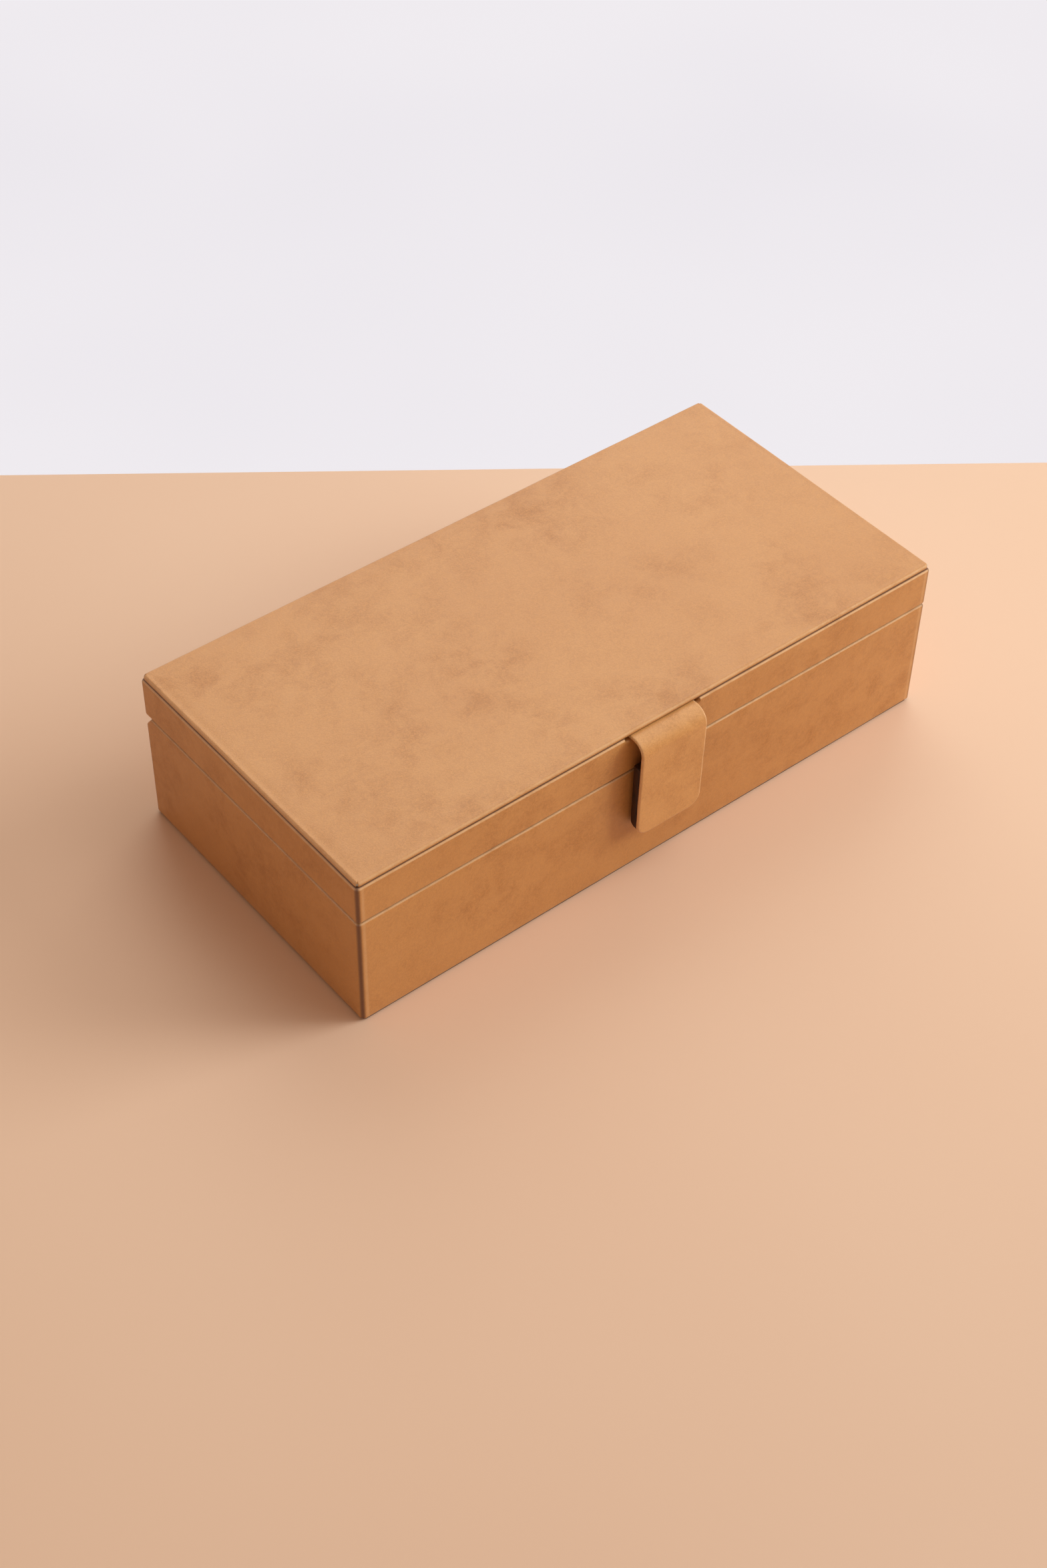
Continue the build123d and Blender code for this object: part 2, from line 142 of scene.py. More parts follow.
class Tree:
    """The node tree of a material, or of a world, filled by short calls."""

    def __init__(self, name, made_in="materials"):
        self.owner = getattr(bpy.data, made_in).new(name)
        self.owner.use_nodes = True
        self.nodes = self.owner.node_tree.nodes
        self.links = self.owner.node_tree.links
        self.nodes.clear()

    @cached_property
    def place(self):
        return self.add("ShaderNodeTexCoord", output="Object")

    def add(self, kind, settings=None, values=None, output=None):
        """Adds a node: its settings first, then its inputs. output names a socket, or several in a tuple."""
        node = self.nodes.new(kind)
        for key, value in (settings or {}).items():
            setattr(node, key, value)
        for key, value in (values or {}).items():
            if isinstance(value, Sock):
                self.links.new(value.socket, node.inputs[key])
            else:
                node.inputs[key].default_value = value
        if isinstance(output, tuple):
            return [Sock(self, node.outputs[one]) for one in output]
        if output:
            return Sock(self, node.outputs[output])
        shown = [socket for socket in node.outputs if socket.enabled]
        return Sock(self, shown[0]) if shown else None

    def noise(self, scale, detail=2.0, rough=0.5, warp=0.0, at=None):
        values = {
            "Vector": at or self.place,
            "Scale": scale,
            "Detail": detail,
            "Roughness": rough,
            "Distortion": warp,
        }
        return self.add("ShaderNodeTexNoise", {"noise_dimensions": "3D"}, values, "Fac")

    def cells(self, scale):
        values = {"Vector": self.place, "Scale": scale}
        return self.add("ShaderNodeTexVoronoi", {"feature": "F1"}, values, "Distance")

    def stretched(self, scale, offset=(0, 0, 0)):
        return self.add("ShaderNodeMapping", {}, {"Vector": self.place, "Scale": scale, "Location": offset})

    def axes(self):
        return self.add("ShaderNodeSeparateXYZ", {}, {0: self.place}, ("X", "Y", "Z"))

    def mix(self, share, one, two):
        """A colour between one and two. The sockets of a colour mix go by number, because all share names."""
        settings = {"data_type": "RGBA", "blend_type": "MIX", "clamp_factor": True}
        return self.add("ShaderNodeMix", settings, {0: share, 6: one, 7: two}, 2)

    def seen(self):
        """1 for the rays that show the studio itself: the camera's, gloss and glass."""
        camera, glossy, through = self.add(
            "ShaderNodeLightPath", output=("Is Camera Ray", "Is Glossy Ray", "Is Transmission Ray")
        )
        return camera.max(glossy).max(through)

    def bump(self, height, depth, strength=1.0, after=None):
        values = {"Height": height, "Distance": depth, "Strength": strength}
        if after:
            values["Normal"] = after
        return self.add("ShaderNodeBump", {}, values, "Normal")

    def finish(self, colour, rough, normal=None, metallic=0.0, **fixed):
        values = {"Base Color": colour, "Roughness": rough, "Metallic": metallic}
        if normal:
            values["Normal"] = normal
        values.update({key.replace("_", " "): value for key, value in fixed.items()})
        return self.ended(self.add("ShaderNodeBsdfPrincipled", {}, values, "BSDF"))

    def ended(self, shader, output="ShaderNodeOutputMaterial"):
        """Puts a shader on the tree's output and returns the material or world."""
        self.add(output, {}, {"Surface": shader})
        return self.owner


class ShapeTree(Tree):
    """A Geometry Nodes tree with named inputs, whose result on an object is taken as a plain mesh."""

    def __init__(self, name, inputs):
        self.group = bpy.data.node_groups.new(name, "GeometryNodeTree")
        self.nodes = self.group.nodes
        self.links = self.group.links
        face = self.group.interface
        face.new_socket("Geometry", in_out="INPUT", socket_type="NodeSocketGeometry")
        self.identifiers = {}
        for label, kind in inputs.items():
            self.identifiers[label] = face.new_socket(label, in_out="INPUT", socket_type=kind).identifier
        face.new_socket("Geometry", in_out="OUTPUT", socket_type="NodeSocketGeometry")
        entry = self.nodes.new("NodeGroupInput")
        self.given = {out.name: Sock(self, out) for out in entry.outputs if out.name}

    def taken_from(self, holder, shape, material, values):
        """Ends the tree in real faces with a material, runs it on the holder and returns the mesh."""
        shape = self.add("GeometryNodeRealizeInstances", {}, {"Geometry": shape}, "Geometry")
        shape = self.add("GeometryNodeSetMaterial", {}, {"Geometry": shape, "Material": material}, "Geometry")
        self.links.new(shape.socket, self.nodes.new("NodeGroupOutput").inputs["Geometry"])
        modifier = holder.modifiers.new("shape", "NODES")
        modifier.node_group = self.group
        for label, value in values.items():
            modifier[self.identifiers[label]] = value
        graph = bpy.context.evaluated_depsgraph_get()
        mesh = bpy.data.meshes.new_from_object(holder.evaluated_get(graph), depsgraph=graph)
        holder.modifiers.remove(modifier)
        return mesh


def srgb(red, green, blue):
    """A colour given in values of 0 to 255, in the linear numbers that a shader takes."""

    def linear(value):
        share = value / 255
        return share / 12.92 if share <= 0.04045 else ((share + 0.055) / 1.055) ** 2.4

    return (linear(red), linear(green), linear(blue), 1.0)


# Materials
# Painted highlight for the covers' rims and for strips beside their corners
painted_highlight_tan = srgb(226, 180, 132)
# Painted shade for the groove under the top panel and the gap between lid and base
painted_shade_brown = srgb(74, 36, 10)
# Colour of the darker line down the upright corners
corner_brown = srgb(98, 50, 12)


def band(value, centre, flat, fade):
    """1 where a value lies within flat of the centre, easing to 0 over the fade beyond it."""
    return (value - centre).abs().ramp(flat, flat + fade, 1.0, 0.0)


def box_painted_light(tree, colour):
    """Painted light on the covers: painted highlights on the rims and beside the upright corners, painted
    shade as dark lines in the grooves, and a darker line down the upright corners.
    """
    x, y, z = tree.axes()
    out_x = x.abs()
    out_y = y.abs()

    def near_sides(depth, fade):
        """1 on the side faces, by x and by y, easing to 0 by the depth inwards from each."""
        ends = ((out_x, half_x - depth), (out_y, half_y - depth))
        return [out.ramp(start, start + fade) for out, start in ends]

    def near_any(depth):
        by_x, by_y = near_sides(depth, 0.6 * MM)
        return by_x.max(by_y)

    # Height, half width, fade and strength of each painted rim highlight
    rims = (
        (cover_high.z - 0.22 * MM, 0.22 * MM, 0.35 * MM, 0.78),
        (lid_high.z - 0.75 * MM, 0.20 * MM, 0.35 * MM, 0.80),
        (panel_high.z - 0.75 * MM, 0.30 * MM, 0.50 * MM, 0.65),
    )
    # Painted highlights where the rounded rims catch the light
    base_rim_highlight, lid_rim_highlight, panel_rim_highlight = [band(z, at, flat, fade) * strength for at, flat, fade, strength in rims]
    painted_edge_highlight = base_rim_highlight.max(lid_rim_highlight).max(panel_rim_highlight) * near_any(1.9 * MM)
    unevenness = tree.noise(190, detail=4, rough=0.7).ramp(0.25, 0.60, 0.45, 1.0)
    colour = tree.mix(painted_edge_highlight * unevenness, colour, painted_highlight_tan)

    # Painted shade: dark lines in the groove under the top panel and in the gap between lid and base
    groove = band(z, panel_low.z + 0.20 * MM, 0.34 * MM, 0.30 * MM)
    gap = band(z, lid_low.z + 0.15 * MM, 0.45 * MM, 0.35 * MM) * z.ramp(cover_high.z, cover_high.z + 0.1 * MM)
    colour = tree.mix(groove.max(gap) * near_any(4.0 * MM) * 0.82, colour, painted_shade_brown)

    below_panel = z.ramp(panel_low.z - 0.2 * MM, panel_low.z + 0.3 * MM, 1.0, 0.0)
    on_front_and_back = out_y.ramp(half_y - 0.5 * MM, half_y - 0.2 * MM)
    # Painted highlight on a strip beside each upright corner, below the panel
    corner_side_highlight = band(out_x, half_x - 3.1 * MM, 0.25 * MM, 0.8 * MM) * on_front_and_back
    colour = tree.mix(corner_side_highlight * below_panel * 0.30, colour, painted_highlight_tan)
    # A darker line down the upright corners, below the panel
    corner_x, corner_y = near_sides(2.3 * MM, 1.6 * MM)
    return tree.mix(corner_x * corner_y * below_panel * 0.90, colour, corner_brown)


def strap_painted_highlight(tree, colour):
    """A painted highlight along the strap's edge, where its rounded edge catches the light."""
    painted_edge_highlight = tree.add("ShaderNodeAttribute", {"attribute_name": "edge_rub"}, {}, "Fac")
    unevenness = tree.noise(260, detail=4, rough=0.7).ramp(0.25, 0.60, 0.55, 1.0)
    # Pale tan of the painted edge highlight
    return tree.mix(painted_edge_highlight * unevenness * 0.85, colour, srgb(240, 204, 162))


def leather_material(name, painted_light_marks=None, tone=(1.0, 1.0, 1.0), seed=0.0):
    """Tan cover leather: a speckle of fine pores that gathers in soft clouds, and a crinkled grain."""
    tree = Tree(name)

    def toned(*colour):
        return srgb(*(part * scale for part, scale in zip(colour, tone)))

    shifted = tree.stretched((1, 1, 1), (seed, seed * 0.7, seed * 0.3))
    drift = tree.noise(6.5, detail=3, rough=0.5, at=shifted).ramp(0.3, 0.7)
    broad = tree.noise(17, detail=3, rough=0.55, warp=0.3, at=shifted).ramp(0.36, 0.66)
    clusters = tree.noise(64, detail=6, rough=0.70, warp=0.4, at=shifted).ramp(0.36, 0.74)
    speckle = tree.noise(1150, detail=4, rough=0.75, at=shifted).ramp(0.36, 0.62)
    grains = tree.noise(420, detail=4, rough=0.7, warp=0.6, at=shifted).ramp(0.36, 0.66)
    pores = tree.cells(1500).ramp(0.0, 0.38, 1.0, 0.0)
    crinkle = tree.noise(620, detail=4, rough=0.65, warp=1.2, at=tree.stretched((1.0, 1.0, 0.55)))
    light = toned(210, 148, 83)
    middle = toned(202, 138, 73)
    cloud = toned(180, 113, 51)
    speck = toned(150, 89, 33)
    clouded = clusters * (broad * 0.80 + 0.20)
    colour = tree.mix(drift, light, middle)
    colour = tree.mix(clouded * 0.34, colour, cloud)
    colour = tree.mix(speckle * (clouded * 0.34 + 0.16), colour, speck)
    colour = tree.mix(grains * (clouded * 0.20 + 0.06), colour, speck)
    colour = tree.mix(pores * (clouded * 0.34 + 0.14), colour, speck)
    # Painted light marks: highlights and shade painted into the colour
    if painted_light_marks:
        colour = painted_light_marks(tree, colour)
    rough = 0.44 + clouded * 0.10 - speckle * 0.06
    height = crinkle * 0.55 - pores * 0.45 + speckle * 0.30
    fine = tree.bump(height, 0.12 * MM, 0.6)
    normal = tree.bump(tree.noise(38, detail=3, rough=0.5), 0.9 * MM, 0.30, fine)
    return tree.finish(colour, rough, normal, Specular_IOR_Level=0.7, Sheen_Weight=0.06, Sheen_Roughness=0.4)


def tab_shade_material():
    """The thick tab's cut edges in near-black brown: painted shade in the gap between the tab and the box."""
    tree = Tree("burnished_tab_edge")
    streaks = tree.noise(500, detail=4, rough=0.7, at=tree.stretched((1, 1, 0.3))).ramp(0.35, 0.7)
    # Near-black browns as painted shade behind the tab
    colour = tree.mix(streaks, srgb(66, 34, 13), srgb(38, 18, 6))
    normal = tree.bump(streaks, 0.08 * MM, 0.5)
    return tree.finish(colour, 0.7 - streaks * 0.1, normal, Specular_IOR_Level=0.25)


def suede_material(name, light, dark, pile=1.0):
    """Short-nap suede: brushed patches that catch the light, a fine pile (pile sets its depth), a sheen."""
    tree = Tree(name)
    brushed = tree.noise(42, detail=5, rough=0.6, warp=0.8).ramp(0.32, 0.68)
    nap = tree.noise(2600, detail=3, rough=0.7)
    fibres = tree.noise(900, detail=4, rough=0.7, warp=0.5, at=tree.stretched((1, 0.5, 1))).ramp(0.3, 0.7)
    colour = tree.mix(brushed * 0.6 + fibres * 0.4, dark, light)
    colour = tree.mix(nap.ramp(0.5, 0.75) * 0.25, colour, dark)
    height = nap * 0.7 + fibres * 0.5
    normal = tree.bump(height, 0.16 * MM * pile, 0.7)
    return tree.finish(colour, 0.93, normal, Sheen_Weight=0.35, Sheen_Roughness=0.5)


def board_material():
    """Raw pressed fibreboard."""
    tree = Tree("fibreboard")
    flecks = tree.noise(500, detail=4, rough=0.7, warp=1.0).ramp(0.35, 0.7)
    layers = tree.noise(120, detail=3, at=tree.stretched((1, 1, 5))).ramp(0.3, 0.7)
    colour = tree.mix(flecks * 0.7 + layers * 0.3, srgb(150, 112, 72), srgb(196, 158, 112))
    return tree.finish(colour, 0.85, tree.bump(flecks, 0.12 * MM, 0.6))


def card_material():
    """Grey board, slightly fibrous."""
    tree = Tree("grey_card")
    flecks = tree.noise(700, detail=4, rough=0.7).ramp(0.35, 0.7)
    colour = tree.mix(flecks, srgb(150, 142, 128), srgb(178, 170, 154))
    return tree.finish(colour, 0.9, tree.bump(flecks, 0.08 * MM, 0.5))


def brass_material():
    """Satin brass, brushed along the hinge, a little dull where it is handled least."""
    tree = Tree("satin_brass")
    brushed = tree.noise(1800, detail=3, at=tree.stretched((0.04, 1, 1))).ramp(0.3, 0.7)
    tarnish = tree.noise(160, detail=4, rough=0.6).ramp(0.5, 0.75)
    colour = tree.mix(tarnish * 0.6, srgb(212, 170, 96), srgb(150, 108, 52))
    rough = 0.26 + brushed * 0.14 + tarnish * 0.18
    return tree.finish(colour, rough, tree.bump(brushed, 0.03 * MM, 0.5), metallic=1.0)


def thread_material():
    """Waxed linen thread, twisted and a little paler than the suede."""
    tree = Tree("waxed_thread")
    twist = tree.noise(2400, detail=2, warp=0.6).ramp(0.35, 0.65)
    colour = tree.mix(twist, srgb(196, 162, 118), srgb(232, 206, 168))
    return tree.finish(colour, 0.6, tree.bump(twist, 0.06 * MM, 0.6))


def magnet_material():
    """Nickel plating with fine scuffs."""
    tree = Tree("nickel_plate")
    scuffs = tree.noise(900, detail=4, at=tree.stretched((1, 0.2, 1))).ramp(0.45, 0.7)
    colour = tree.mix(scuffs, srgb(200, 198, 192), srgb(160, 158, 152))
    return tree.finish(colour, 0.2 + scuffs * 0.25, metallic=1.0)


def paper_material(name, colour, shade, glowing=False):
    """Smooth paper with a barely visible drift of tone. When glowing, it is seen at its full colour."""
    tree = Tree(name)
    drift = tree.noise(2.2, detail=2).ramp(0.3, 0.7)
    tint = tree.mix(drift, colour, shade)
    if not glowing:
        return tree.finish(tint, 0.55, Specular_IOR_Level=0.45)
    lit = tree.add("ShaderNodeBsdfDiffuse", {}, {"Color": tint}, "BSDF")
    glow = tree.add("ShaderNodeEmission", {}, {"Color": tint, "Strength": 1.0}, "Emission")
    return tree.ended(tree.add("ShaderNodeMixShader", {}, {0: tree.seen(), 1: lit, 2: glow}))


cover_leather = leather_material("tan_cover_leather", box_painted_light)
# The tab's leather is the cover leather painted lighter and paler, as painted sheen and stronger light on the
# tab, with the painted edge highlight
lightened_tab_leather = leather_material("tan_tab_leather", strap_painted_highlight, tone=(1.07, 1.12, 1.23), seed=3.1)
painted_tab_shade = tab_shade_material()
lining_suede = suede_material("lining_suede", srgb(216, 188, 156), srgb(182, 148, 114))
cushion_suede = suede_material("cushion_suede", srgb(218, 194, 164), srgb(186, 158, 126), pile=1.3)
felt = suede_material("underside_felt", srgb(104, 70, 44), srgb(78, 50, 30), pile=1.6)
fibreboard = board_material()
grey_card = card_material()
brass = brass_material()
thread = thread_material()
nickel = magnet_material()


# Mesh helpers
def make_object(name, mesh, body, materials):
    """A finished, smooth piece on its body, with its material slot."""
    for material in materials:
        mesh.materials.append(material)
    mesh.polygons.foreach_set("use_smooth", [True] * len(mesh.polygons))
    piece = bpy.data.objects.new(name, mesh)
    bpy.context.scene.collection.objects.link(piece)
    if body:
        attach(piece, body)
    return piece


def mesh_from(verts, faces, name, merge=0.0):
    """A mesh whose faces point outwards. merge is how near two points are to become one."""
    mesh = bpy.data.meshes.new(name)
    mesh.from_pydata(verts, [], faces)
    work = bmesh.new()
    work.from_mesh(mesh)
    if merge:
        bmesh.ops.remove_doubles(work, verts=work.verts, dist=merge)
    bmesh.ops.recalc_face_normals(work, faces=work.faces)
    work.to_mesh(mesh)
    work.free()
    return mesh


def spread(low, high, count):
    """Count values from low to high, both ends included."""
    return [low + (high - low) * i / (count - 1) for i in range(count)]


def crowded(count, lean):
    """Count places from -1 to 1 that crowd towards both ends, the more so with a larger lean."""
    even = spread(-1, 1, count)
    return [lean * math.sin(place * math.pi / 2) + (1 - lean) * place for place in even]


def grid_faces(start, rows, columns):
    """Four-sided faces over rows of points that are numbered from start."""
    faces = []
    for i in range(rows - 1):
        for j in range(columns - 1):
            a = start + i * columns + j
            faces.append((a, a + 1, a + columns + 1, a + columns))
    return faces


def side_shares(length, fine, fine_reach, coarse):
    """Places along one side as shares from -1 to 1: fine near both ends and coarse between."""
    half = length / 2
    ends = [half - fine * i for i in range(1, int(fine_reach / fine) + 1)]
    inner = ends[-1]
    count = max(2, round(2 * inner / coarse))
    middle = spread(-inner, inner, count + 1)
    places = sorted([-e for e in ends[:-1]] + middle + ends[:-1])
    return [p / half for p in places]


class Outline:
    """A rounded rectangle walked round once, at any distance inwards from its edge."""

    least_radius = 0.15 * MM
    side_ways = ((0, -1), (1, 0), (0, 1), (-1, 0))
    corner_signs = ((1, -1), (1, 1), (-1, 1), (-1, -1))
    corner_starts = (-90, 0, 90, 180)

    def __init__(self, half_x, half_y, radius, corner_steps=16, fine=0.7 * MM, reach=9 * MM, coarse=4 * MM):
        self.half_x = half_x
        self.half_y = half_y
        self.radius = radius
        along_x = side_shares(2 * (half_x - radius), fine, reach, coarse)
        along_y = side_shares(2 * (half_y - radius), fine, reach, coarse)
        turns = spread(0, 90, corner_steps + 1)
        self.stations = []
        for side, shares in enumerate((along_x, along_y, along_x, along_y)):
            self.stations += [("side", side, share) for share in shares]
            self.stations += [("corner", side, turn) for turn in turns]

    def point(self, station, inset):
        """The (x, y) of a station, and its outward direction, at a distance inwards."""
        kind, side, value = station
        radius = max(self.radius - inset, self.least_radius)
        reach_x = self.half_x - inset - radius
        reach_y = self.half_y - inset - radius
        if kind == "side":
            way_x, way_y = self.side_ways[side]
            x = way_x * (reach_x + radius) - way_y * value * reach_x
            y = way_y * (reach_y + radius) + way_x * value * reach_y
            return Vector((x, y)), Vector((way_x, way_y))
        sign_x, sign_y = self.corner_signs[side]
        turn = math.radians(self.corner_starts[side] + value)
        out = Vector((math.cos(turn), math.sin(turn)))
        return Vector((sign_x * reach_x, sign_y * reach_y)) + out * radius, out


def wrap_round(name, outline, profile, place, closed=True):
    """Sweeps a profile of (inset, height, key) round an outline. place gives where each point ends up."""
    verts = []
    count = len(outline.stations)
    for inset, height, key in profile:
        for station in outline.stations:
            at, out = outline.point(station, inset)
            verts.append(place(at, out, station, inset, height, key))
    faces = []
    rings = len(profile)
    for ring in range(rings if closed else rings - 1):
        low = ring * count
        high = ((ring + 1) % rings) * count
        for i in range(count):
            j = (i + 1) % count
            faces.append((low + i, low + j, high + j, high + i))
    if not closed:
        faces.append(tuple(range(count)))
        faces.append(tuple(range((rings - 1) * count, rings * count)))
    return mesh_from(verts, faces, name)


def arc(inset, height, radius, start, end, steps, key):
    """Profile points on a rounding about (inset, height)."""
    points = []
    for turn in spread(start, end, steps + 1):
        angle = math.radians(turn)
        points.append((inset - radius * math.cos(angle), height + radius * math.sin(angle), key))
    return points


def run(first, last, count, key):
    """Profile points on a straight stretch, ends left out."""
    points = []
    for i in range(1, count):
        share = i / count
        inset = first[0] + (last[0] - first[0]) * share
        height = first[1] + (last[1] - first[1]) * share
        points.append((inset, height, key))
    return points


def ripple(x, y, z, scale, depth, seed):
    """A smooth, steady waviness of hand-wrapped leather."""
    return noise.noise(Vector((x * scale + seed, y * scale - seed, z * scale + 2 * seed))) * depth


def hand_wrapped(at, out, height, broad, fine):
    """A point of a wrapped wall, moved by its waviness. broad and fine are each a scale and a seed."""
    wave = ripple(*at, height, broad[0], 0.10 * MM, broad[1])
    wave += ripple(*at, height, fine[0], 0.03 * MM, fine[1])
    return at + out * min(wave, proud)


# Base cover
def bevel_height(y, top, inset):
    """The height of the base's rim at y: lower along the back, where it is bevelled."""
    slope = bevel_drop / bevel_depth
    lowered = top - (y - (half_y - bevel_depth)) * slope - inset * (math.hypot(1, slope) - 1)
    return min(top, lowered)


def base_cover():
    """The base's leather: foot, wall, rim and turn-in, cut low along the back for the hinges."""
    foot = cover_low.z
    rim = cover_high.z
    profile = [(turn_under, foot + leather, "inside")]
    profile += [(turn_under, foot, "foot")]
    profile += run((turn_under, foot), (foot_round, foot), 3, "foot")
    profile += arc(foot_round, foot + foot_round, foot_round, -90, 0, 5, "foot")
    profile += run((0, foot + foot_round), (0, rim - rim_round), 14, "wall")
    profile += arc(rim_round, rim - rim_round, rim_round, 0, 90, 8, "rim")
    profile += run((rim_round, rim), (wall - inner_edge[0][0], rim), 8, "rim")
    profile += [(wall - out, rim - deep, "rim") for out, deep in inner_edge]
    profile += [(wall, rim - leather - turn_in, "turned"), (wall - leather, rim - leather - turn_in, "turned")]
    profile += [(wall - leather, rim - leather, "inner"), (leather, rim - leather, "inner")]
    profile += [(leather, foot + leather, "inside")]
    wall_top = rim - rim_round
    room_dips = {"rim": 1.05 * MM, "inner": 0.2 * MM}
    room_fade = 0.25 * MM

    def place(at, out, station, inset, height, key):
        x, y = at
        drop = rim - bevel_height(y, rim, 0)
        if key == "wall":
            share = (height - foot) / (wall_top - foot)
            height -= drop * share**3
        elif key == "rim":
            height -= drop
        elif key == "inner":
            height -= rim - bevel_height(y, rim, leather)
        if key in ("wall", "rim", "foot"):
            at = hand_wrapped(at, out, height, (22, 1.3), (90, 4.1))
            if key == "rim" and inset > 0.3 * MM:
                height += ripple(x, y, 0, 60, 0.05 * MM, 7.7)
        if key in room_dips and y > half_y - wall - 0.2 * MM:
            for low, high in hinge_rooms:
                end = min(x - low.x + hinge_play, high.x + hinge_play - x)
                if end > 0:
                    height -= room_dips[key] * min(1.0, end / room_fade)
        return (*at, height)

    outline = Outline(half_x, half_y, corner_round)
    mesh = wrap_round("base_cover", outline, profile, place)
    cover = make_object("base_cover", mesh, "base", [cover_leather])
    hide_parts("base_leather_cover")
    return cover


def lid_cover():
    """The lid frame's leather, with the strap's slot let into its front edge."""
    foot = lid_low.z
    top = lid_high.z
    profile = [(wall - out, foot + deep, "rim") for out, deep in reversed(inner_edge)]
    profile += run((wall - inner_edge[0][0], foot), (lid_rim_round, foot), 6, "rim")
    profile += arc(lid_rim_round, foot + lid_rim_round, lid_rim_round, -90, 0, 8, "rim")
    profile += run((0, foot + lid_rim_round), (0, top - lid_top_round), 8, "wall")
    profile += arc(lid_top_round, top - lid_top_round, lid_top_round, 0, 90, 10, "top")
    profile += run((lid_top_round, top), (turn_under, top), 7, "top")
    profile += [(turn_under, top, "top"), (turn_under, top - leather, "deck"), (wall, top - leather, "deck")]
    profile += [(leather, top - leather, "inner_top"), (leather, foot + leather, "inner")]
    profile += [(wall - leather, foot + leather, "inner")]
    profile += [(at, foot + leather + turn_in, "turned") for at in (wall - leather, wall)]
    wall_low = foot + lid_rim_round
    wall_high = top - lid_top_round
    slot_ends = (-1.0, -0.6, -0.2, 0.1, 0.35, 0.55, 0.7, 0.8, 0.9, 1.2)  # mm beyond each end of the slot

    def place(at, out, station, inset, height, key):
        x, y = at
        cut = 0.0
        if y < front + wall + 0.3 * MM:
            shoulder = (slot_half + slot_round / 2 - abs(x)) / slot_round
            cut = slot_depth * math.sqrt(max(0.0, min(1.0, shoulder)))
        if key in ("top", "inner_top"):
            height -= cut
        elif key == "wall":
            height -= cut * ((height - wall_low) / (wall_high - wall_low)) ** 4
        if key in ("wall", "rim", "top"):
            at = hand_wrapped(at, out, height, (24, 2.2), (95, 5.9))
        return (*at, height)

    outline = Outline(half_x, half_y, corner_round)
    straight = half_x - corner_round
    fronts = [station for station in outline.stations if station[:2] == ("side", 0)]
    others = outline.stations[len(fronts):]
    fronts += [("side", 0, way * (slot_half + end * MM) / straight) for way in (-1, 1) for end in slot_ends]
    outline.stations = sorted(fronts, key=lambda station: station[2]) + others
    mesh = wrap_round("lid_cover", outline, profile, place)
    cover = make_object("lid_cover", mesh, "lid", [cover_leather])
    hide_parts("lid_leather_cover")
    return cover


def top_panel():
    """The panel on top of the lid: leather drawn over a card, with soft edges and pinched corners."""
    foot = panel_low.z
    top = panel_high.z
    low_round = 0.55 * MM
    high = panel_edge_round
    over_card = 14 * MM
    profile = [(over_card, top - leather, "inside"), (leather, top - leather, "inside")]
    profile += [(leather, foot + leather, "inside"), (panel_margin, foot + leather, "inside")]
    profile += [(panel_margin, foot, "under")]
    profile += run((panel_margin, foot), (low_round, foot), 3, "under")
    profile += arc(low_round, foot + low_round, low_round, -90, 0, 5, "side")
    profile += run((0, foot + low_round), (0, top - high), 2, "side")
    profile += arc(high, top - high, high, 0, 90, 12, "edge")
    face_insets = (1.8, 2.4, 3.2, 4.5, 6, 8, 11, 15, 20, 28, 40, 55, 70, 82)
    profile += [(inset * MM, top, "face") for inset in face_insets]

    def hump(value, centre, width):
        return math.exp(-(((value - centre) / width) ** 2))

    def place(at, out, station, inset, height, key):
        x, y = at
        kind, _, turn = station
        if key in ("side", "edge", "face"):
            near_edge = math.exp(-inset / (10 * MM))
            wave = ripple(x, y, 0, 26, 0.16 * MM, 9.4) + ripple(x, y, 0, 110, 0.05 * MM, 3.3)
            height += min(wave, 0.02 * MM) * (0.35 + 0.65 * near_edge) * min(1.0, inset / MM)
            height -= 0.12 * MM * hump(inset, 3.2 * MM, 1.6 * MM)
            at = at + out * min(ripple(x, y, 0, 30, 0.14 * MM, 6.2), 0.05 * MM) * near_edge
        if kind == "corner" and key in ("side", "edge"):
            off = abs(turn - 45)
            at = at - out * (0.34 * MM * hump(off, 0, 7.5) - 0.10 * MM * hump(off, 20, 9))
        return (*at, height)

    outline = Outline(half_x - panel_inset, half_y - panel_inset, panel_corner, corner_steps=24)
    mesh = wrap_round("top_panel", outline, profile, place, closed=False)
    panel = make_object("top_panel", mesh, "lid", [cover_leather])
    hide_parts("top_panel_leather")
    return panel


# Strap tab
def strap_path():
    """The strap's middle line as (y, z) points from its tail, over the bend, to the tab's foot."""
    middle_z = tail_high.z - strap_thick / 2
    axis_y = front - 1.3 * MM
    radius = 7.7 * MM - strap_thick / 2
    foot_z = strap_low.z
    bend_z = middle_z - radius
    tuck = 0.8 * MM  # how far the foot comes back towards the box
    foot_y = strap_low.y + tuck + strap_thick / 2
    points = [Vector((y, middle_z)) for y in spread(tail_high.y, front + 3 * MM, 14)]
    points += [Vector((y, middle_z)) for y in spread(front + 2 * MM, axis_y + 0.6 * MM, 5)]
    for turn in spread(90, 180, 22):
        angle = math.radians(turn)
        points.append(Vector((axis_y + radius * math.cos(angle), bend_z + radius * math.sin(angle))))
    last = points[-1]
    count = 46
    for i in range(1, count + 1):
        share = math.sin(i / count * math.pi / 2)
        points.append(last + (Vector((foot_y, foot_z)) - last) * share)
    return points


def outline_depth(across, left, half, radius):
    """Distance inwards from the tab's outline, with left to go to its foot and a radius at its corners."""
    side = half - abs(across)
    if side < radius and left < radius:
        return radius - math.hypot(radius - side, radius - left)
    return min(side, left)


